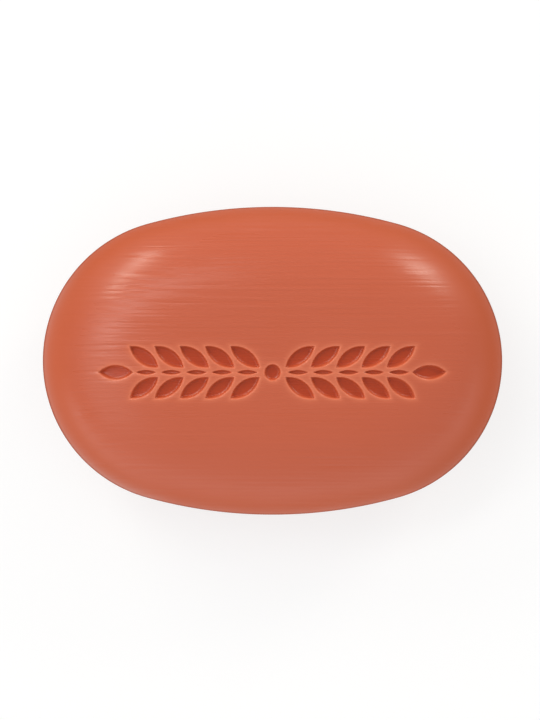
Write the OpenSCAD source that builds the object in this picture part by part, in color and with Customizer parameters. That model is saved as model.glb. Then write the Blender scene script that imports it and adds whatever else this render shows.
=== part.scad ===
// Bar of pressed soap: an oval pillow with a domed face, a domed back that is flat in its middle,
// a fine parting ridge round its widest line, and a leaf garland pressed into the face.
// All sizes are in millimetres and all angles in degrees.
// +X runs along the length and +Z points out of the face.
// The origin is the middle of the flat land on the back, which the bar rests on.

/* [Outline] */
// Length of the bar
bar_length = 90; // [80:1:110]
// Width of the bar
bar_width = 60.3; // [52:0.1:72]
// Radius of the two long sides, seen from above
side_radius = 92; // [78:1:160]

/* [Section] */
// Height of the face above the parting ridge
face_height = 14.5; // [8:0.5:20]
// Depth of the back below the parting ridge
back_height = 13.5; // [8:0.5:20]
// Width of the flat land that the bar rests on
land_width = 30; // [16:1:40]
// Fullness of the pillow: 2 is an egg, and more is a flatter middle with a tighter shoulder
fullness = 3.2; // [2:0.1:5]
// How far outside the parting ridge the dome's own edge would be, which makes the ridge
ridge_trim = 0.1; // [0.05:0.05:0.6]

/* [Leaf garland] */
// Depth of the pressed pattern
press_depth = 0.9; // [0.3:0.1:1.5]
// Lean of the pressed walls, which lets the die come away
press_draft = 20; // [5:1:30]
// Distance from the middle of the face to the garland's axis
garland_drop = 2.2; // [0:0.1:6]
// Distance from each end of the bar to the garland's tip
garland_margin = 11.4; // [9:0.1:16]
// Least distance from one pair of leaves to the next
leaf_spacing = 4.6; // [4:0.1:8]
// Length of a leaf
leaf_length = 7; // [5:0.1:9]
// Width of a leaf
leaf_width = 2.9; // [1.6:0.1:3.4]
// Angle between a leaf and the garland's axis
leaf_angle = 36; // [25:1:50]
// Distance from the garland's axis to the root of a leaf
leaf_offset = 0.9; // [0.6:0.1:1.6]
// Width of the stem's slivers
stem_width = 1; // [0.7:0.1:1.2]
// Gap between two pieces of the pattern that follow each other
pattern_gap = 0.8; // [0.4:0.1:1.2]
// Diameter of the bud in the middle
bud_diameter = 3.2; // [2:0.1:4]

/* [Hidden] */

// How finely the pillow is drawn: steps along one end arc, one side arc and one dome
END_STEPS = 26;
SIDE_STEPS = 14;
DOME_STEPS = 15;
// Flats drawn round a cutter
CUTTER_FLATS = 96;
// How far a cutter stands above the face
CUTTER_RISE = 1;
// Step over which the slope of the face is measured
SLOPE_STEP = 0.01;
SOAP_COLOUR = [0.79, 0.39, 0.28];

half_length = bar_length / 2;
half_width = bar_width / 2;

// The outline has four arcs, each of which runs smoothly into the next
end_radius = (2 * half_width * side_radius - half_length ^ 2 - half_width ^ 2)
    / (2 * (side_radius - half_length));
end_centre = [half_length - end_radius, 0];
side_centre = [0, half_width - side_radius];
// Direction in which the right end arc meets the upper side arc
join_angle = atan2(-side_centre.y, end_centre.x);

// Share of the dome's own plan that lies inside the parting ridge
dome_share = half_width / (half_width + ridge_trim);
land_share = land_width / bar_width;

function lerp(from, to, share) = from + (to - from) * share;
function on_arc(centre, radius, angle) = centre + radius * [cos(angle), sin(angle)];
function turned(points) = [for (p = points) -p];
function reversed(points) = [for (i = [len(points) - 1 : -1 : 0]) points[i]];

// Outline points once round, anticlockwise from where the lower side meets the right end
right_end = [for (i = [0 : END_STEPS - 1])
    on_arc(end_centre, end_radius, lerp(-join_angle, join_angle, i / END_STEPS))];
upper_side = [for (i = [0 : SIDE_STEPS - 1])
    on_arc(side_centre, side_radius, lerp(join_angle, 180 - join_angle, i / SIDE_STEPS))];
outline = concat(right_end, upper_side, turned(right_end), turned(upper_side));

// Height of a dome as a share of its full height, at a share of the way from its middle to the ridge
function raw_dome(share) = sqrt(1 - (dome_share * share) ^ fullness);
function dome(share) = (raw_dome(share) - raw_dome(1)) / (1 - raw_dome(1));

// Shares at which the rings of a dome are drawn, close together where it bends most
function ring_share(angle) = sin(angle) ^ (2 / fullness) / dome_share;
function ring_angle(share) = asin((dome_share * share) ^ (fullness / 2));
function ring_shares(from, to, steps) =
    [for (i = [0 : steps]) ring_share(lerp(ring_angle(from), ring_angle(to), i / steps))];

// Height above the resting plane
function face_z(share) = back_height + face_height * dome(share);
function back_z(share) = back_height * (1 - dome(share) / dome(land_share));

// How far a point lies from the middle, as a share of the way to the outline
function reach(point, centre, radius) =
    let (along = point * centre, size = point * point)
    size == 0 ? 0 : size / (along + sqrt(along ^ 2 - size * (centre * centre - radius ^ 2)));
function share_at(point) =
    let (p = [abs(point.x), abs(point.y)], join = on_arc(end_centre, end_radius, join_angle))
    p.y * join.x > p.x * join.y
        ? reach(p, side_centre, side_radius)
        : reach(p, end_centre, end_radius);
function face_at(point) = face_z(share_at(point));
function face_slope(point, way) =
    (face_at(point + SLOPE_STEP * way) - face_at(point - SLOPE_STEP * way)) / (2 * SLOPE_STEP);
function unit(v) = v / norm(v);

// Solid through a stack of rings from the lowest to the highest, closed by a flat base and a crown
module ring_stack(rings, crown) {
    around = len(rings[0]);
    last = len(rings) - 1;
    points = concat([for (ring = rings) each ring], [crown]);
    base = [for (i = [0 : around - 1]) i];
    walls = [for (k = [0 : last - 1], i = [0 : around - 1])
        let (a = k * around + i, b = k * around + (i + 1) % around)
        each [[a, a + around, b], [b, a + around, b + around]]];
    cap = [for (i = [0 : around - 1])
        [last * around + i, len(points) - 1, last * around + (i + 1) % around]];
    polyhedron(points, concat([base], walls, cap), convexity = 4);
}

// The pressed pillow with no pattern, from the land on its back up to the crown of its face
module pillow() {
    back_rings = [for (share = ring_shares(land_share, 1, DOME_STEPS))
        [for (p = outline) [p.x * share, p.y * share, back_z(share)]]];
    face_rings = [for (share = reversed(ring_shares(0, 1, DOME_STEPS)))
        if (share > 0 && share < 1) [for (p = outline) [p.x * share, p.y * share, face_z(share)]]];
    ring_stack(concat(back_rings, face_rings), [0, 0, face_z(0)]);
}

// Puts its children at a point of the face, with their +Z square to the surface there
module on_face(point) {
    along = unit([1, 0, face_slope(point, [1, 0])]);
    out = unit([-face_slope(point, [1, 0]), -face_slope(point, [0, 1]), 1]);
    across = cross(out, along);
    multmatrix([
        [along.x, across.x, out.x, point.x],
        [along.y, across.y, out.y, point.y],
        [along.z, across.z, out.z, face_at(point)]
    ]) children();
}

// Round cutter whose wall leans outward as it rises, of the given radius at the surface
module leaning_disc(radius) {
    lean = tan(press_draft);
    translate([0, 0, -press_depth])
        cylinder(h = press_depth + CUTTER_RISE, r1 = radius - press_depth * lean,
            r2 = radius + CUTTER_RISE * lean, $fn = CUTTER_FLATS);
}

// Pointed leaf between two arcs, centred on its own middle and lying along X
module leaf_cutter(length, width) {
    radius = (length ^ 2 + width ^ 2) / (4 * width);
    intersection() {
        translate([0, radius - width / 2, 0]) leaning_disc(radius);
        translate([0, width / 2 - radius, 0]) leaning_disc(radius);
    }
}

// Leaf pressed into the face, from its root outward at an angle to the garland's axis
module leaf(root, angle) {
    on_face(root + leaf_length / 2 * [cos(angle), sin(angle)])
        rotate([0, 0, angle]) leaf_cutter(leaf_length, leaf_width);
}

module garland() {
    first_root = bud_diameter / 2 + pattern_gap;
    last_root = half_length - garland_margin - leaf_length;
    leaf_pairs = floor((last_root - first_root) / leaf_spacing);
    pitch = (last_root - first_root) / leaf_pairs;
    on_face([0, -garland_drop]) leaning_disc(bud_diameter / 2);
    for (way = [-1, 1]) {
        heading = way > 0 ? 0 : 180;
        leaf([way * last_root, -garland_drop], heading);
        for (i = [0 : leaf_pairs - 1]) {
            root_x = first_root + i * pitch;
            on_face([way * (root_x + pitch / 2), -garland_drop])
                leaf_cutter(pitch - pattern_gap, stem_width);
            for (side = [-1, 1])
                leaf([way * root_x, side * leaf_offset - garland_drop],
                    heading + way * side * leaf_angle);
        }
    }
}

module soap_bar() {
    color(SOAP_COLOUR) difference() {
        pillow();
        garland();
    }
}

soap_bar();
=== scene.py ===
"""Looks of a bar of pressed soap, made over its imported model.

Lengths are in metres and colours are linear, unless a comment says otherwise.
"""

import math

import bpy
import numpy as np
from mathutils import Matrix, Vector
from mathutils.geometry import delaunay_2d_cdt


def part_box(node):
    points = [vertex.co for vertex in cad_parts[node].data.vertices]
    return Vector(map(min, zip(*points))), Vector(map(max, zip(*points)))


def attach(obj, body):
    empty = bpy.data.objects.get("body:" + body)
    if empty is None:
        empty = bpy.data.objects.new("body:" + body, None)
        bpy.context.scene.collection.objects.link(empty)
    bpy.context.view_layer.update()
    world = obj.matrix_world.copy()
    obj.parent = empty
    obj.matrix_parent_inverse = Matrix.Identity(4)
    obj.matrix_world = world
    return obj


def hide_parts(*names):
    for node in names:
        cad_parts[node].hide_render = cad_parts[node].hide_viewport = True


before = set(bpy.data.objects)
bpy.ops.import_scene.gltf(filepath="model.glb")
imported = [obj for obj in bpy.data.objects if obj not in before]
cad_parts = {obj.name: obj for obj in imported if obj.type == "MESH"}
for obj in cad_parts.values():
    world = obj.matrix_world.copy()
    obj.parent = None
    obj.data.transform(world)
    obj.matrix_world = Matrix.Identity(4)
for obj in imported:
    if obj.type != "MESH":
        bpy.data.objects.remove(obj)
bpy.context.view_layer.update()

MM = 0.001

# The bar's box comes from the frame, and what a box can't tell is as in the part's source
bar_low, bar_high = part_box("soap_bar")
HALF_LENGTH = (bar_high.x - bar_low.x) / 2
HALF_WIDTH = (bar_high.y - bar_low.y) / 2
FACE_HEIGHT = 14.5 * MM
BACK_HEIGHT = bar_high.z - FACE_HEIGHT
SIDE_RADIUS = 92 * MM
LAND_WIDTH = 30 * MM
FULLNESS = 3.2
RIDGE_TRIM = 0.1 * MM

# The pressed garland
PRESS_DEPTH = 0.9 * MM
PRESS_DRAFT = math.radians(20)
GARLAND_DROP = 2.2 * MM
GARLAND_MARGIN = 11.4 * MM
LEAF_SPACING = 4.6 * MM
LEAF_LENGTH = 7 * MM
LEAF_WIDTH = 2.9 * MM
LEAF_ANGLE = math.radians(36)
LEAF_OFFSET = 0.9 * MM
STEM_WIDTH = 1 * MM
PATTERN_GAP = 0.8 * MM
BUD_DIAMETER = 3.2 * MM

# How softly the soap came out of the die. The walls of a pressed piece reach no further in
# than a share of the way to its own middle.
PRESS_RIM_RADIUS = 0.15 * MM
PRESS_FLOOR_RADIUS = 0.6 * MM
PRESS_WALL_SHARE = 0.75
SHOULDER_DROP = 0.07 * MM
SHOULDER_REACH = 0.35 * MM
LAND_EDGE_SOFTNESS = 0.12 * MM

# Waves of the face, which fade over the last share of the way to the rim. Each row is a pair of
# crossing waves: its length along the bar and across it, both in millimetres, and its phase.
WAVE_HEIGHT = 0.02 * MM
WAVE_FADE = 0.15
WAVES = ((31, 9, 0.4), (47, 6.1, 2.1), (23, 13, 4.0), (61, 4.3, 5.2))

# Soap: it is paler toward the crowns of the face and of the back, and deeper toward the parting
# line as painted shade on the steep sides. It is smoother toward the face's crown. The change
# starts and ends at these distances from the parting line.
SHADED_SIDE_COLOUR = (0.528, 0.0885, 0.0230)
SIDE_ROUGHNESS = 0.6
CROWN_COLOUR = (0.560, 0.1138, 0.0528)
CROWN_ROUGHNESS = 0.27
CROWN_START = 4.5 * MM
CROWN_FULL = 10.5 * MM
MOTTLE_SIZE = 14 * MM
MOTTLE_DETAIL = 3.0
MOTTLE_STRENGTH = 0.5
SOAP_IOR = 1.43

# The pressed pieces are painted deeper in colour as shade in the recesses, and their rims are painted
# pale as a highlight
PRESSED_SHADE_COLOUR = (0.485, 0.054, 0.010)
RIM_HIGHLIGHT_COLOUR = (0.75, 0.195, 0.098)
RIM_HIGHLIGHT_REACH = 0.36 * MM

# The parting line is matt, and painted a little darker as shade where the sides turn under
PARTING_REACH = 2.2 * MM
PARTING_PAINTED_SHADE = 0.33
PARTING_ROUGHNESS = 0.4

# Streaks that run along the bar, left from cutting the billet: long lines with breaks in them,
# and short scratches. A pitch is the distance from one to the next.
LINE_LENGTH = 260 * MM
LINE_PITCH = 0.82 * MM
LINE_DETAIL = 0.6
BREAK_LENGTH = 10 * MM
BREAK_PITCH = 1.2 * MM
BREAK_DETAIL = 1.0
BREAK_LOW = 0.2
BREAK_HIGH = 1.8
SCRATCH_LENGTH = 18 * MM
SCRATCH_PITCH = 0.7 * MM
SCRATCH_DETAIL = 0.6
SCRATCH_SHARE = 0.4

# What the streaks do to the height, the colour and the roughness of the surface
STREAK_HEIGHT = 0.137 * MM
STREAK_PALENESS = 0.38
STREAK_ROUGHNESS = 0.3

# The streaks are uneven in patches, and fainter toward the right and in the pressed pieces
PATCH_SIZE = 20 * MM
PATCH_DETAIL = 1.0
PATCH_LOW = 0.85
PATCH_HIGH = 1.1
RIGHT_START = 14 * MM
RIGHT_FULL = 30 * MM
RIGHT_STRENGTH = 0.62
PRESSED_SMOOTHING = 0.7

# The streaks fill a squarish oval, whose edge is soft and wanders
STREAKED_LENGTH = 77 * MM
STREAKED_WIDTH = 55 * MM
STREAKED_SQUARENESS = 3.2
STREAKED_FADE = 0.9
STREAKED_WANDER = 0.5
WANDER_LENGTH = 60 * MM
WANDER_PITCH = 2.2 * MM
WANDER_DETAIL = 2.0

# Toward the near side the crown is duller and the side is a little smoother
NEAR_START = -8 * MM
NEAR_FULL = -24 * MM
NEAR_DULLNESS = 0.25
NEAR_SMOOTHNESS = 0.08

# Toward the left end the side is smoother. How far left a place lies is measured from the
# middle, in one direction.
LEFT_AZIMUTH = math.radians(200)
LEFT_START = 25 * MM
LEFT_FULL = 36 * MM
LEFT_SMOOTHNESS = 0.18

# Noise runs from 0 to 1, and most of it lies between a low and a high value
NOISE_LOW = 0.35
NOISE_MIDDLE = 0.5
NOISE_HIGH = 0.65
STREAK_NOISE_ROUGHNESS = 0.55

# Light and floor, where a radiance of 1 is pure white in the picture
WHITE = (1.0, 1.0, 1.0)
WARM_WHITE = (1.0, 0.97, 0.86)
BLACK = (0.0, 0.0, 0.0)
LAMP_DISTANCE = 1.4
SKY_RADIANCE = 0.551
FLOOR_SIZE = 12
FLOOR_GREY = 0.3
FLOOR_GLOW = 0.72

# Camera: the frame's width is at the height of the bar's widest line. The lens and the sensor
# are in millimetres, and the image in pixels.
IMAGE_WIDTH = 540
IMAGE_HEIGHT = 720
FRAME_WIDTH = 105.8 * MM
CAMERA_X = -0.49 * MM
CAMERA_Y = 0.15 * MM
LENS = 135
SENSOR = 36

# How finely the mesh is drawn: the spacing of its points, finer beside the pressed pieces, and
# how many steps a curve has. A cap is the middle of the face or of the back, up to a share of
# the way to the rim, and rings run from there to the rim.
GRID = 0.6 * MM
FINE_GRID = 0.2 * MM
FINE_REACH = 1.2 * MM
BACK_GRID = 1.2 * MM
FILLET_STEPS = 4
LEAF_STEPS = 36
FACE_CAP_SHARE = 0.86
BACK_CAP_SHARE = 0.6
FACE_RING_STEPS = 22
BACK_RING_STEPS = 32

# Least distance from the grid's points to a rim of the mesh, as a share of their spacing
CAP_CLEARANCE = 0.6
PIECE_CLEARANCE = 0.5

# Half the width of the band that holds the garland and the fine grid beside it
GARLAND_BAND = HALF_WIDTH / 2

# Step over which a slope is measured, steps in which a point is let down onto the face, the
# distance at which two points are one, the kind of result that asks the triangulation for
# every triangle, and the least number that is divided by
SLOPE_STEP = 0.01 * MM
DROP_STEPS = 4
SAME_POINT = 1e-9
EVERY_TRIANGLE = 0
LEAST_DIVISOR = 1e-12

# The outline's four arcs
END_RADIUS = (2 * HALF_WIDTH * SIDE_RADIUS - HALF_LENGTH**2 - HALF_WIDTH**2) / (
    2 * (SIDE_RADIUS - HALF_LENGTH))
END_CENTRE = np.array([HALF_LENGTH - END_RADIUS, 0])
SIDE_CENTRE = np.array([0, HALF_WIDTH - SIDE_RADIUS])
JOIN_ANGLE = math.atan2(-SIDE_CENTRE[1], END_CENTRE[0])
JOIN = END_CENTRE + END_RADIUS * np.array([math.cos(JOIN_ANGLE), math.sin(JOIN_ANGLE)])
DOME_SHARE = HALF_WIDTH / (HALF_WIDTH + RIDGE_TRIM)
LAND_SHARE = LAND_WIDTH / (2 * HALF_WIDTH)


def outline(spacing):
    """Points once round the bar's widest line, anticlockwise from the lower right."""
    def arc(centre, radius, start, stop):
        count = math.ceil((stop - start) * radius / spacing)
        angles = start + (stop - start) * np.arange(count) / count
        return centre + radius * np.stack([np.cos(angles), np.sin(angles)], 1)

    right = arc(END_CENTRE, END_RADIUS, -JOIN_ANGLE, JOIN_ANGLE)
    upper = arc(SIDE_CENTRE, SIDE_RADIUS, JOIN_ANGLE, math.pi - JOIN_ANGLE)
    return np.concatenate([right, upper, -right, -upper])


def share_at(points):
    """How far each plan point lies from the middle, as a share of the way to the outline."""
    folded = np.abs(points)
    size = (folded**2).sum(1)

    def reach(centre, radius):
        along = folded @ centre
        root = np.sqrt(along**2 - size * (centre @ centre - radius**2))
        return size / np.maximum(along + root, LEAST_DIVISOR)

    on_side = folded[:, 1] * JOIN[0] > folded[:, 0] * JOIN[1]
    return np.where(on_side, reach(SIDE_CENTRE, SIDE_RADIUS), reach(END_CENTRE, END_RADIUS))


def raw_dome(share):
    """Height of a dome with no ridge trimmed off, as a share of its full height."""
    return np.sqrt(np.maximum(1 - (DOME_SHARE * share) ** FULLNESS, 0))


def dome(share):
    """Height of a dome above the parting line, as a share of its full height."""
    edge = raw_dome(1.0)
    return (raw_dome(share) - edge) / (1 - edge)


def face_z(share):
    """Height of the face above the resting plane."""
    return BACK_HEIGHT + FACE_HEIGHT * dome(share)


def back_z(share):
    """Height of the back: a dome whose middle is pressed flat, with a soft edge round the flat."""
    height = BACK_HEIGHT * (1 - dome(share) / dome(LAND_SHARE))
    return (height + np.sqrt(height**2 + LAND_EDGE_SOFTNESS**2)) / 2


def ring_shares(start, stop, steps):
    """Shares from start to stop, close together where the dome bends most."""
    angles = np.arcsin((DOME_SHARE * np.array([start, stop])) ** (FULLNESS / 2))
    return np.sin(np.linspace(angles[0], angles[1], steps + 1)) ** (2 / FULLNESS) / DOME_SHARE


def face_points(plan):
    """Points of the face over plan points."""
    return np.column_stack([plan, face_z(share_at(plan))])


class Placement:
    """A flat local frame that touches the face at one point, with a heading in the plane."""

    def __init__(self, point, heading):
        point = np.array(point, float)
        steps = SLOPE_STEP * np.array([[1, 0], [-1, 0], [0, 1], [0, -1]])
        heights = face_z(share_at(point + steps))
        slope_x = (heights[0] - heights[1]) / (2 * SLOPE_STEP)
        slope_y = (heights[2] - heights[3]) / (2 * SLOPE_STEP)
        along = np.array([1, 0, slope_x])
        out = np.array([-slope_x, -slope_y, 1])
        along /= np.linalg.norm(along)
        self.out = out / np.linalg.norm(out)
        across = np.cross(self.out, along)
        self.ahead = math.cos(heading) * along + math.sin(heading) * across
        self.aside = np.cross(self.out, self.ahead)
        self.origin = face_points(point[None])[0]

    def on_face(self, local):
        """Points of the face straight under the local points."""
        flat = self.origin + local[:, :1] * self.ahead + local[:, 1:] * self.aside
        drop = np.zeros(len(local))
        for _ in range(DROP_STEPS):
            points = flat - drop[:, None] * self.out
            drop += (points[:, 2] - face_z(share_at(points[:, :2]))) * self.out[2]
        return flat - drop[:, None] * self.out

    def local(self, points):
        """Local plan places of points of the face."""
        away = points - self.origin
        return np.column_stack([away @ self.ahead, away @ self.aside])


class Leaf:
    """A pointed leaf between two arcs, pressed into the face."""

    def __init__(self, point, heading, length, width):
        self.place = Placement(point, heading)
        self.size = length
        self.deepest = width / 2
        self.radius = (length**2 + width**2) / (4 * width)
        self.rise = self.radius - width / 2

    def inset(self, local):
        """How far local places lie inside the outline."""
        return self.radius - np.hypot(local[:, 0], np.abs(local[:, 1]) + self.rise)

    def ring(self, inset):
        """The outline moved inward by the inset, with as many points at any inset."""
        radius = self.radius - inset
        reach = math.acos(self.rise / radius)
        angles = np.linspace(-reach, reach, LEAF_STEPS + 1)[:-1]
        upper = np.column_stack([-radius * np.sin(angles), radius * np.cos(angles) - self.rise])
        return np.concatenate([upper, -upper])

    def closing_faces(self, ring):
        """Faces that fill the innermost ring, each from one side of the leaf to the other."""
        half = len(ring) // 2
        upper = ring[:half + 1]
        lower = ring[:1] + ring[:half - 1:-1]
        faces = [[upper[0], upper[1], lower[1]]]
        faces += [[upper[i], upper[i + 1], lower[i + 1], lower[i]] for i in range(1, half - 1)]
        faces.append([upper[half - 1], upper[half], lower[half - 1]])
        return faces


class Bud:
    """A round dot pressed into the face."""

    def __init__(self, point, diameter):
        self.place = Placement(point, 0)
        self.size = diameter
        self.deepest = diameter / 2

    def inset(self, local):
        """How far local places lie inside the outline."""
        return self.deepest - np.hypot(local[:, 0], local[:, 1])

    def ring(self, inset):
        """The outline moved inward by the inset, with as many points at any inset."""
        angles = np.linspace(0, 2 * math.pi, 2 * LEAF_STEPS + 1)[:-1]
        return (self.deepest - inset) * np.column_stack([np.cos(angles), np.sin(angles)])

    def closing_faces(self, ring):
        """One face that fills the innermost ring."""
        return [ring]


def garland():
    """Every leaf, stem sliver and bud of the garland, as in the part's source."""
    first_root = BUD_DIAMETER / 2 + PATTERN_GAP
    last_root = HALF_LENGTH - GARLAND_MARGIN - LEAF_LENGTH
    pairs = math.floor((last_root - first_root) / LEAF_SPACING)
    pitch = (last_root - first_root) / pairs

    def leaf(root, angle):
        middle = np.array(root) + LEAF_LENGTH / 2 * np.array([math.cos(angle), math.sin(angle)])
        return Leaf(middle, angle, LEAF_LENGTH, LEAF_WIDTH)

    pieces = [Bud([0, -GARLAND_DROP], BUD_DIAMETER)]
    for way in (-1, 1):
        heading = 0 if way > 0 else math.pi
        pieces.append(leaf([way * last_root, -GARLAND_DROP], heading))
        for i in range(pairs):
            root_x = first_root + i * pitch
            stem_middle = [way * (root_x + pitch / 2), -GARLAND_DROP]
            pieces.append(Leaf(stem_middle, 0, pitch - PATTERN_GAP, STEM_WIDTH))
            for side in (-1, 1):
                root = [way * root_x, side * LEAF_OFFSET - GARLAND_DROP]
                pieces.append(leaf(root, heading + way * side * LEAF_ANGLE))
    return pieces


def press_profile():
    """Insets and depths down a pressed wall, from its rounded rim to its filleted floor."""
    wall = math.pi / 2 - PRESS_DRAFT
    angles = np.linspace(0, wall, FILLET_STEPS + 1)
    rim_inset = PRESS_RIM_RADIUS * (np.sin(angles) - math.tan(wall / 2))
    rim_depth = PRESS_RIM_RADIUS * (1 - np.cos(angles))
    foot = PRESS_DEPTH * math.tan(PRESS_DRAFT) + PRESS_FLOOR_RADIUS * math.tan(wall / 2)
    floor_inset = foot - PRESS_FLOOR_RADIUS * np.sin(angles[::-1])
    floor_depth = PRESS_DEPTH - PRESS_FLOOR_RADIUS * (1 - np.cos(angles[::-1]))
    insets = np.concatenate([rim_inset, floor_inset])
    depths = np.concatenate([rim_depth, floor_depth])
    return list(zip(insets, depths))


class MeshBuilder:
    """Collects points and faces, where each face names its points by number."""

    def __init__(self):
        self.points = []
        self.pressed = []
        self.faces = []

    def add(self, points, pressed=0.0):
        """Adds points, all pressed in by one share of the full depth, and returns their numbers."""
        start = len(self.points)
        self.points.extend(map(tuple, points))
        self.pressed.extend([pressed] * len(points))
        return list(range(start, len(self.points)))

    def strip(self, outer, inner):
        """Faces between two closed rings with as many points, the outer or the lower one first."""
        count = len(outer)
        for i in range(count):
            j = (i + 1) % count
            self.faces.append([outer[i], outer[j], inner[j], inner[i]])


def triangle_grid(spacing):
    """Plan points of an even triangular grid that covers the bar."""
    row_step = spacing * math.sqrt(3) / 2
    rows = math.ceil(HALF_WIDTH / row_step)
    columns = math.ceil(HALF_LENGTH / spacing) + 1
    row, column = np.meshgrid(np.arange(-rows, rows + 1), np.arange(-columns, columns + 1))
    return np.column_stack([(column + (row % 2) / 2).ravel() * spacing, row.ravel() * row_step])


def outside(piece, points):
    """How far points of the face lie outside a piece's outline. It is less than 0 inside."""
    # Well away from a piece, the distance to the circle round it is near enough
    local = piece.place.local(points)
    far = np.hypot(local[:, 0], local[:, 1]) - piece.size / 2
    return np.where(far < piece.size / 2, -piece.inset(local), far)


def clearance(points, pieces):
    """How far points of the face lie outside the nearest piece."""
    return np.min([outside(piece, points) for piece in pieces], 0)


def closeness(points, pieces, reach):
    """1 inside the pieces, falling smoothly to 0 away from them."""
    clear = np.ones(len(points))
    for piece in pieces:
        clear *= 1 - np.exp(-np.maximum(outside(piece, points), 0) / reach)
    return 1 - clear


def grid_points(spacing, share_limit, pieces, rim_gap):
    """Plan points inside a share of the outline and clear of the pieces, closer together beside them."""
    points = triangle_grid(spacing)
    points = points[share_at(points) < share_limit - CAP_CLEARANCE * spacing / HALF_WIDTH]
    if not pieces:
        return points
    points = points[clearance(face_points(points), pieces) > FINE_REACH]
    fine = triangle_grid(FINE_GRID)
    fine = fine[np.abs(fine[:, 1]) < GARLAND_BAND]
    gap = clearance(face_points(fine), pieces)
    fine = fine[(gap > rim_gap + PIECE_CLEARANCE * FINE_GRID) & (gap < FINE_REACH)]
    return np.concatenate([points, fine])


def cap(builder, around, rim_share, spacing, height, pieces, face_down):
    """Adds the cap inside a share of the outline, less the pieces' own patches.

    It returns the point numbers of the cap's rim and of each piece's rim.
    """
    rim_inset = press_profile()[0][0]
    loops = [around * rim_share]
    loops += [piece.place.on_face(piece.ring(rim_inset))[:, :2] for piece in pieces]
    starts = np.cumsum([0] + [len(loop) for loop in loops])
    edges = []
    for start, loop in zip(starts, loops):
        edges += [(int(start + i), int(start + (i + 1) % len(loop))) for i in range(len(loop))]
    free = grid_points(spacing, rim_share, pieces, -rim_inset)
    given_points = [Vector(point) for point in np.concatenate(loops + [free])]
    plan, _, triangles, made_from, _, _ = delaunay_2d_cdt(
        given_points, edges, [], EVERY_TRIANGLE, SAME_POINT)
    plan = np.array([point[:] for point in plan])
    triangles = np.array(triangles)

    numbers = builder.add(np.column_stack([plan, height(share_at(plan))]))
    number_of = {given: numbers[made] for made, givens in enumerate(made_from) for given in givens}
    middles = plan[triangles].mean(1)
    keep = share_at(middles) < rim_share
    if pieces:
        keep &= clearance(face_points(middles), pieces) > -rim_inset
    for triangle in triangles[keep]:
        face = [numbers[corner] for corner in triangle]
        builder.faces.append(face[::-1] if face_down else face)
    return [[number_of[start + i] for i in range(len(loop))] for start, loop in zip(starts, loops)]


def press_patch(builder, piece, rim):
    """Adds a piece's wall and floor inside its rim."""
    outer = rim
    for inset, depth in press_profile()[1:]:
        if inset > piece.deepest * PRESS_WALL_SHARE:
            break
        points = piece.place.on_face(piece.ring(inset)) - depth * piece.place.out
        inner = builder.add(points, depth / PRESS_DEPTH)
        builder.strip(outer, inner)
        outer = inner
    builder.faces.extend(piece.closing_faces(outer))


def closed_surface(pieces):
    """The bar's whole surface, from the face's cap down the side to the back's cap."""
    builder = MeshBuilder()
    # Shrunk to the face's cap, the outline's points are as far apart as the grid's
    around = outline(GRID / FACE_CAP_SHARE)
    upper, *piece_rims = cap(builder, around, FACE_CAP_SHARE, GRID, face_z, pieces, False)
    for piece, rim in zip(pieces, piece_rims):
        press_patch(builder, piece, rim)
    face_shares = ring_shares(FACE_CAP_SHARE, 1, FACE_RING_STEPS)[1:]
    back_shares = ring_shares(BACK_CAP_SHARE, 1, BACK_RING_STEPS)[-2:0:-1]
    for shares, height in ((face_shares, face_z), (back_shares, back_z)):
        for share in shares:
            lower = builder.add(np.column_stack([around * share, np.full(len(around), height(share))]))
            builder.strip(lower, upper)
            upper = lower
    back_rim = cap(builder, around, BACK_CAP_SHARE, BACK_GRID, back_z, [], True)[0]
    builder.strip(back_rim, upper)
    return builder


def waves(points):
    """A faint long unevenness of the pressed surface, drawn out along the bar."""
    x, y = points[:, 0] / MM, points[:, 1] / MM
    total = np.zeros(len(points))
    for along, across, phase in WAVES:
        total += np.sin(2 * math.pi * (x / along + y / across) + phase)
        total += np.sin(2 * math.pi * (x / along - y / across) + 2 * phase)
    return WAVE_HEIGHT * total / (2 * len(WAVES))


def make_bar():
    """The bar as one closed mesh. Its points say how deep they are pressed and how near they lie to a
    pressed piece, for the painted highlight on the rims.
    """
    pieces = garland()
    surface = closed_surface(pieces)
    points = np.array(surface.points)
    on_face = points[:, 2] > BACK_HEIGHT
    fade = np.clip((1 - share_at(points[:, :2])) / WAVE_FADE, 0, 1)
    shoulder = SHOULDER_DROP * closeness(points, pieces, SHOULDER_REACH)
    points[:, 2] += np.where(on_face, waves(points) * fade - shoulder, 0)
    # Painted highlight: how near each point of the face lies to a pressed piece, which pales its rim
    rim_highlight = np.where(on_face, closeness(points, pieces, RIM_HIGHLIGHT_REACH), 0)

    mesh = bpy.data.meshes.new("pressed_bar")
    mesh.from_pydata(points.tolist(), [], surface.faces)
    mesh.validate()
    mesh.shade_smooth()
    for name, values in (("pressed", surface.pressed), ("rim_highlight", rim_highlight)):
        mesh.attributes.new(name, "FLOAT", "POINT").data.foreach_set("value", values)
    bar = bpy.data.objects.new("pressed_bar", mesh)
    bpy.context.collection.objects.link(bar)
    return bar


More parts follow.
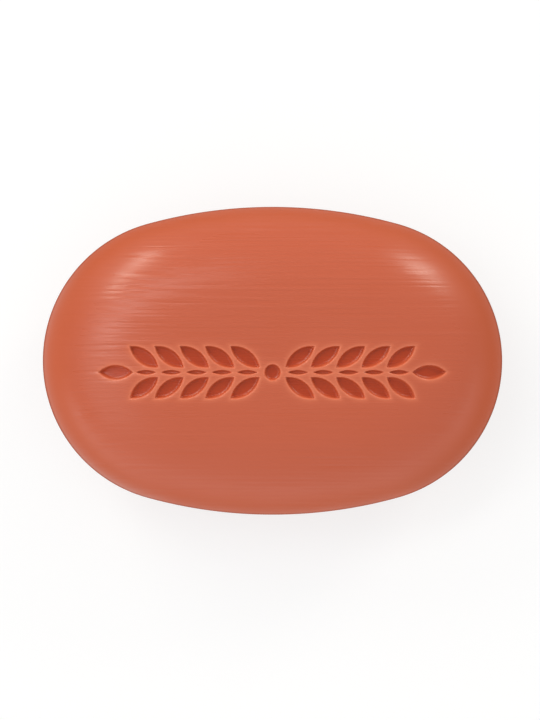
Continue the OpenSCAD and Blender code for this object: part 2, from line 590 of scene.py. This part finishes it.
class Paint:
    """One material and its shader nodes. A value is a number, a colour or another node's output."""

    def __init__(self, name):
        self.material = bpy.data.materials.new(name)
        self.material.use_nodes = True
        self.tree = self.material.node_tree
        self.shader = self.tree.nodes["Principled BSDF"]

    def feed(self, node, values):
        """Sets a node's inputs, each by its name or its number."""
        for key, value in values.items():
            if isinstance(value, bpy.types.NodeSocket):
                self.tree.links.new(value, node.inputs[key])
            else:
                node.inputs[key].default_value = value

    def add(self, kind, values, **settings):
        """Adds a node with its settings and inputs, and returns its outputs."""
        node = self.tree.nodes.new(kind)
        for name, setting in settings.items():
            setattr(node, name, setting)
        self.feed(node, values)
        return node.outputs

    def attribute(self, name):
        """A value that the mesh's points hold."""
        return self.add("ShaderNodeAttribute", {}, attribute_name=name)["Fac"]

    def calculate(self, operation, *values):
        """The result of one operation on its values."""
        return self.add("ShaderNodeMath", dict(enumerate(values)), operation=operation)[0]

    def product(self, first, *others):
        """All the values multiplied together."""
        for value in others:
            first = self.calculate("MULTIPLY", first, value)
        return first

    def mix(self, share, first, second):
        """The first colour where the share is 0, and the second where it is 1."""
        # A mix node's inputs 6 and 7 and its output 2 are the ones for colours
        first, second = [(*c, 1) if isinstance(c, tuple) else c for c in (first, second)]
        return self.add("ShaderNodeMix", {0: share, 6: first, 7: second}, data_type="RGBA")[2]

    def ramp(self, value, start, stop, low=0.0, high=1.0):
        """A smooth step from low to high while the value goes from start to stop."""
        values = {"Value": value, "From Min": start, "From Max": stop, "To Min": low, "To Max": high}
        return self.add("ShaderNodeMapRange", values, interpolation_type="SMOOTHSTEP")["Result"]

    def blotches(self, place, size, detail):
        """Noise in lumps of about one size, from 0 to 1."""
        values = {"Vector": place, "Scale": 1 / size, "Detail": detail}
        return self.add("ShaderNodeTexNoise", values, noise_dimensions="3D")[0]

    def streaks(self, place, length, pitch, detail):
        """Noise drawn out along the bar, from 0 to 1."""
        squeeze = {0: place, 1: (1 / length, 1 / pitch, 0)}
        drawn_out = self.add("ShaderNodeVectorMath", squeeze, operation="MULTIPLY")["Vector"]
        values = {"Vector": drawn_out, "Scale": 1.0, "Detail": detail}
        values["Roughness"] = STREAK_NOISE_ROUGHNESS
        return self.add("ShaderNodeTexNoise", values, noise_dimensions="2D")[0]

    def centred(self, noise):
        """Noise moved down, so that its middle is 0."""
        return self.calculate("SUBTRACT", noise, NOISE_MIDDLE)


def streaked_area(paint, place, axes):
    """1 inside the streaked oval, falling to 0 outside it."""
    def outward(axis, size):
        share = paint.calculate("DIVIDE", paint.calculate("ABSOLUTE", axes[axis]), size / 2)
        return paint.calculate("POWER", share, STREAKED_SQUARENESS)

    distance = paint.calculate("ADD", outward("X", STREAKED_LENGTH), outward("Y", STREAKED_WIDTH))
    wander = paint.centred(paint.streaks(place, WANDER_LENGTH, WANDER_PITCH, WANDER_DETAIL))
    distance = paint.calculate("MULTIPLY_ADD", wander, STREAKED_WANDER, distance)
    return paint.ramp(distance, 1 + STREAKED_FADE / 2, 1 - STREAKED_FADE / 2)


def streak_strength(paint, place, axes, pressed):
    """How much of the streaks is left at each place inside the streaked oval."""
    patches = paint.blotches(place, PATCH_SIZE, PATCH_DETAIL)
    patches = paint.ramp(patches, NOISE_LOW, NOISE_HIGH, PATCH_LOW, PATCH_HIGH)
    rightward = paint.ramp(axes["X"], RIGHT_START, RIGHT_FULL, 1.0, RIGHT_STRENGTH)
    unpressed = paint.calculate("MULTIPLY_ADD", pressed, -PRESSED_SMOOTHING, 1.0)
    return paint.product(patches, rightward, unpressed)


def streak_pattern(paint, place, axes, pressed):
    """Height of the streaks as a share of the full height, below 0 in their grooves."""
    lines = paint.centred(paint.streaks(place, LINE_LENGTH, LINE_PITCH, LINE_DETAIL))
    scratches = paint.centred(paint.streaks(place, SCRATCH_LENGTH, SCRATCH_PITCH, SCRATCH_DETAIL))
    breaks = paint.streaks(place, BREAK_LENGTH, BREAK_PITCH, BREAK_DETAIL)
    breaks = paint.ramp(breaks, NOISE_LOW, NOISE_HIGH, BREAK_LOW, BREAK_HIGH)
    broken_lines = paint.product(lines, 1 - SCRATCH_SHARE, breaks)
    streak = paint.calculate("MULTIPLY_ADD", scratches, SCRATCH_SHARE, broken_lines)
    area = streaked_area(paint, place, axes)
    return paint.product(streak, area, streak_strength(paint, place, axes, pressed))


def soap_colour(paint, place, from_parting, parting, pressed, streak):
    """Painted shade on the sides, the parting line and the pressed pieces, a painted highlight on their
    rims, and a paler, mottled crown.
    """
    crown = paint.ramp(from_parting, CROWN_START, CROWN_FULL)
    mottle = paint.centred(paint.blotches(place, MOTTLE_SIZE, MOTTLE_DETAIL))
    pale = paint.calculate("MULTIPLY_ADD", mottle, MOTTLE_STRENGTH, crown)
    pale = paint.calculate("MULTIPLY_ADD", streak, STREAK_PALENESS, pale)
    # Painted shade: the side colour is deeper, standing in for shade on the steep sides
    colour = paint.mix(pale, SHADED_SIDE_COLOUR, CROWN_COLOUR)
    # Painted highlight: the rims of the pressed pieces are paler
    colour = paint.mix(paint.attribute("rim_highlight"), colour, RIM_HIGHLIGHT_COLOUR)
    # Painted shade in the pressed recesses
    colour = paint.mix(pressed, colour, PRESSED_SHADE_COLOUR)
    # Painted shade: darker toward the parting line
    return paint.mix(paint.calculate("MULTIPLY", parting, PARTING_PAINTED_SHADE), colour, BLACK)


def soap_roughness(paint, place, axes, above_parting, parting, streak):
    """Satin on the face's crown, and rougher on the sides, on the back and at the parting line."""
    near = paint.ramp(axes["Y"], NEAR_START, NEAR_FULL)
    crown_roughness = paint.calculate("MULTIPLY_ADD", near, NEAR_DULLNESS, CROWN_ROUGHNESS)
    measured = {0: place, 1: (math.cos(LEFT_AZIMUTH), math.sin(LEFT_AZIMUTH), 0)}
    leftward = paint.add("ShaderNodeVectorMath", measured, operation="DOT_PRODUCT")["Value"]
    left = paint.ramp(leftward, LEFT_START, LEFT_FULL)
    smoothness = paint.calculate("MULTIPLY", near, NEAR_SMOOTHNESS)
    smoothness = paint.calculate("MULTIPLY_ADD", left, LEFT_SMOOTHNESS, smoothness)
    on_face = paint.ramp(above_parting, -PARTING_REACH, PARTING_REACH)
    smoothness = paint.calculate("MULTIPLY", smoothness, on_face)
    side_roughness = paint.calculate("SUBTRACT", SIDE_ROUGHNESS, smoothness)
    roughness = paint.ramp(above_parting, CROWN_START, CROWN_FULL, side_roughness, crown_roughness)
    roughness = paint.calculate("MULTIPLY_ADD", parting, PARTING_ROUGHNESS, roughness)
    return paint.calculate("MULTIPLY_ADD", streak, STREAK_ROUGHNESS, roughness)


def soap_material():
    """Coral milled soap: smooth and streaked, matt at the parting line, with painted shade and painted
    highlights.
    """
    paint = Paint("coral_soap")
    place = paint.add("ShaderNodeTexCoord", {})["Object"]
    axes = paint.add("ShaderNodeSeparateXYZ", {0: place})
    above_parting = paint.calculate("SUBTRACT", axes["Z"], BACK_HEIGHT)
    from_parting = paint.calculate("ABSOLUTE", above_parting)
    parting = paint.ramp(from_parting, 0.0, PARTING_REACH, 1.0, 0.0)
    pressed = paint.attribute("pressed")
    streak = streak_pattern(paint, place, axes, pressed)
    bump = paint.add("ShaderNodeBump", {"Distance": STREAK_HEIGHT, "Height": streak})
    paint.feed(paint.shader, {
        "Base Color": soap_colour(paint, place, from_parting, parting, pressed, streak),
        "Roughness": soap_roughness(paint, place, axes, above_parting, parting, streak),
        "IOR": SOAP_IOR,
        "Normal": bump["Normal"],
    })
    return paint.material


def softbox(name, azimuth, elevation, roll, width, height, radiance, colour):
    """A panel of light that faces the bar.

    Its angles are in degrees. Its width and height are given as if it stood 1 m away.
    """
    azimuth, elevation, roll = map(math.radians, (azimuth, elevation, roll))
    level = math.cos(elevation)
    away = Vector((math.cos(azimuth) * level, math.sin(azimuth) * level, math.sin(elevation)))
    side = Vector((0, 0, 1)).cross(away).normalized()
    rise = away.cross(side)
    across = math.cos(roll) * side + math.sin(roll) * rise
    upward = math.cos(roll) * rise - math.sin(roll) * side
    data = bpy.data.lights.new(name, "AREA")
    data.shape = "RECTANGLE"
    data.color = colour
    data.size = width * LAMP_DISTANCE
    data.size_y = height * LAMP_DISTANCE
    data.energy = math.pi * data.size * data.size_y * radiance
    light = bpy.data.objects.new(name, data)
    turn = Matrix((across, upward, away)).transposed().to_4x4()
    light.matrix_world = Matrix.Translation(Vector((0, 0, BACK_HEIGHT)) + LAMP_DISTANCE * away) @ turn
    bpy.context.collection.objects.link(light)


def make_lamps():
    """Two strong lamps for the highlights, two high panels, and two low cards for the sides."""
    softbox("right_lamp", azimuth=48.5, elevation=20, roll=27.3,
            width=0.31, height=0.35, radiance=8.8, colour=WARM_WHITE)
    softbox("left_lamp", azimuth=127.3, elevation=25.1, roll=35.4,
            width=0.58, height=0.16, radiance=10, colour=WARM_WHITE)
    softbox("high_left_panel", azimuth=185, elevation=45.5, roll=1.3,
            width=0.95, height=0.46, radiance=0.9, colour=WHITE)
    softbox("high_back_panel", azimuth=143, elevation=53.5, roll=-18.2,
            width=0.83, height=0.18, radiance=3.45, colour=WHITE)
    softbox("low_left_card", azimuth=-114, elevation=6.1, roll=-3,
            width=2.48, height=0.18, radiance=3.7, colour=WHITE)
    softbox("low_right_card", azimuth=-42, elevation=6, roll=7.9,
            width=1.47, height=0.15, radiance=3.2, colour=WHITE)


def make_floor():
    """A plain floor that looks white where nothing shades it, and sends little light back up."""
    bpy.ops.mesh.primitive_plane_add(size=FLOOR_SIZE)
    floor = bpy.context.object
    floor.name = "floor"
    paint = Paint("floor_white")
    rays = paint.add("ShaderNodeLightPath", {})
    seen = paint.calculate("ADD", rays["Is Camera Ray"], rays["Is Glossy Ray"])
    seen = paint.calculate("ADD", seen, rays["Is Transmission Ray"])
    paint.feed(paint.shader, {
        "Base Color": (FLOOR_GREY, FLOOR_GREY, FLOOR_GREY, 1),
        "Roughness": 1.0,
        "Specular IOR Level": 0.0,
        "Emission Color": (*WHITE, 1),
        "Emission Strength": paint.calculate("MULTIPLY", seen, FLOOR_GLOW),
    })
    floor.data.materials.append(paint.material)


def make_sky():
    """An even white light from all round."""
    world = bpy.data.worlds.new("sky")
    world.use_nodes = True
    background = world.node_tree.nodes["Background"]
    background.inputs["Color"].default_value = (*WHITE, 1)
    background.inputs["Strength"].default_value = SKY_RADIANCE
    bpy.context.scene.world = world


def make_camera():
    """Looks straight down on the face, as the photograph does."""
    frame_height = FRAME_WIDTH * IMAGE_HEIGHT / IMAGE_WIDTH
    data = bpy.data.cameras.new("camera")
    data.lens = LENS
    data.sensor_width = SENSOR
    camera = bpy.data.objects.new("camera", data)
    camera.location = (CAMERA_X, CAMERA_Y, BACK_HEIGHT + frame_height * LENS / SENSOR)
    bpy.context.collection.objects.link(camera)
    bpy.context.scene.camera = camera


bar = make_bar()
bar.data.materials.append(soap_material())
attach(bar, "root")
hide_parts("soap_bar")

make_floor()
make_sky()
make_lamps()
make_camera()
bpy.context.scene.view_settings.view_transform = "Standard"
